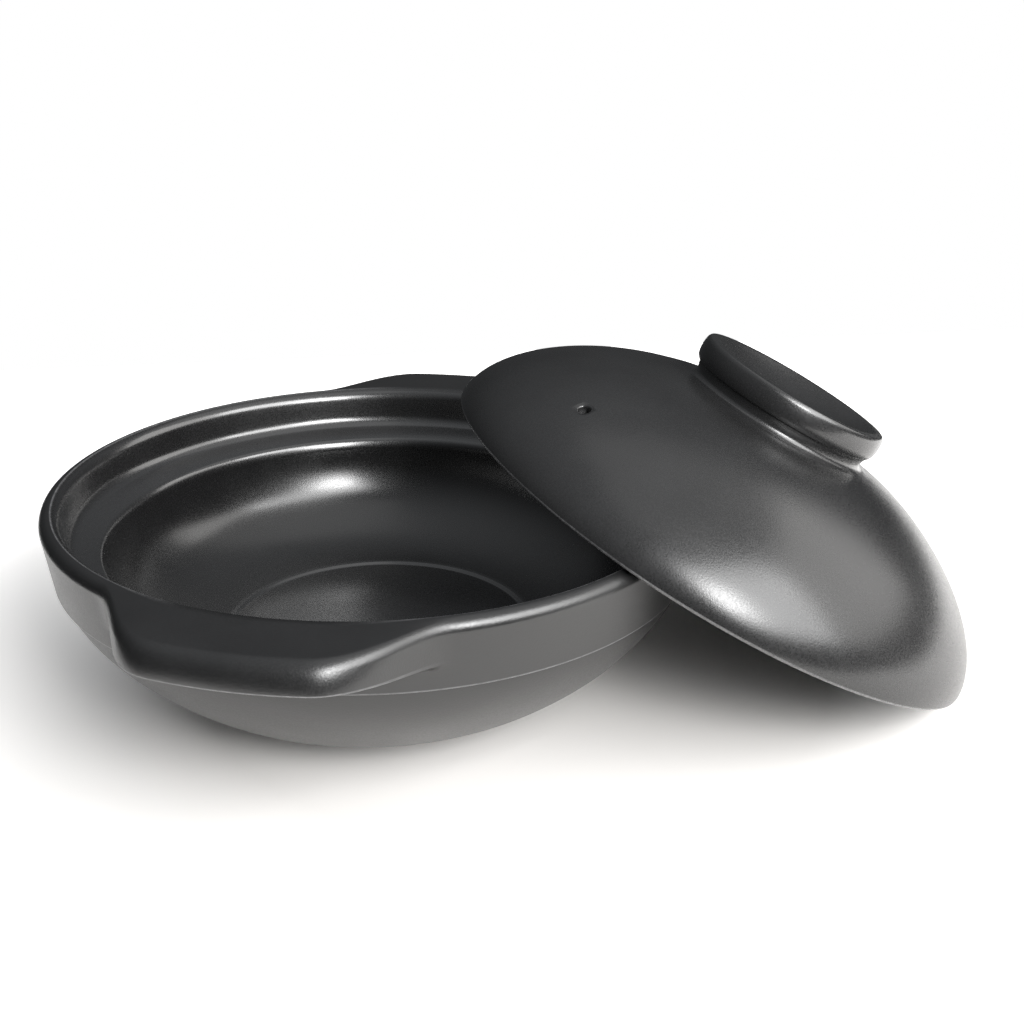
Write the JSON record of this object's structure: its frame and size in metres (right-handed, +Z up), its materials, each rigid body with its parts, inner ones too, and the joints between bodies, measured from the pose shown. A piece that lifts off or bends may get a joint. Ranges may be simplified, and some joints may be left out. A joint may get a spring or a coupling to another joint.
{
  "type": "clay pot",
  "caption": "Shallow glazed stoneware cooking pot with flange lugs, a stepped lid gallery and a domed lid with a hollow ring knob and steam hole, leaning on the rim.",
  "frame": {"origin": "on the table plane, in the middle of the footprint of the pot and the leaning lid", "axes": "+Z up, +X from the pot towards the foot of the leaning lid, +Y to the back"},
  "size_m": [0.3454, 0.2806, 0.1291],
  "materials": {
    "pot_glaze": "satin charcoal-black glaze on stoneware",
    "lid_glaze": "satin charcoal-black glaze with a fine grain",
    "knob_glaze": "the same glaze, lying thicker and glossier"
  },
  "bodies": {
    "pot": {"pot_bowl": "pot_glaze", "front_lug": "pot_glaze", "rear_lug": "pot_glaze"},
    "lid": {"lid_dome": "lid_glaze", "lid_knob": "knob_glaze"}
  },
  "joints": [
    {"name": "lid_lift", "type": "slide", "parent": "pot", "child": "lid", "axis": [0, 0, 1], "range_m": [0, 0.15]}
  ]
}
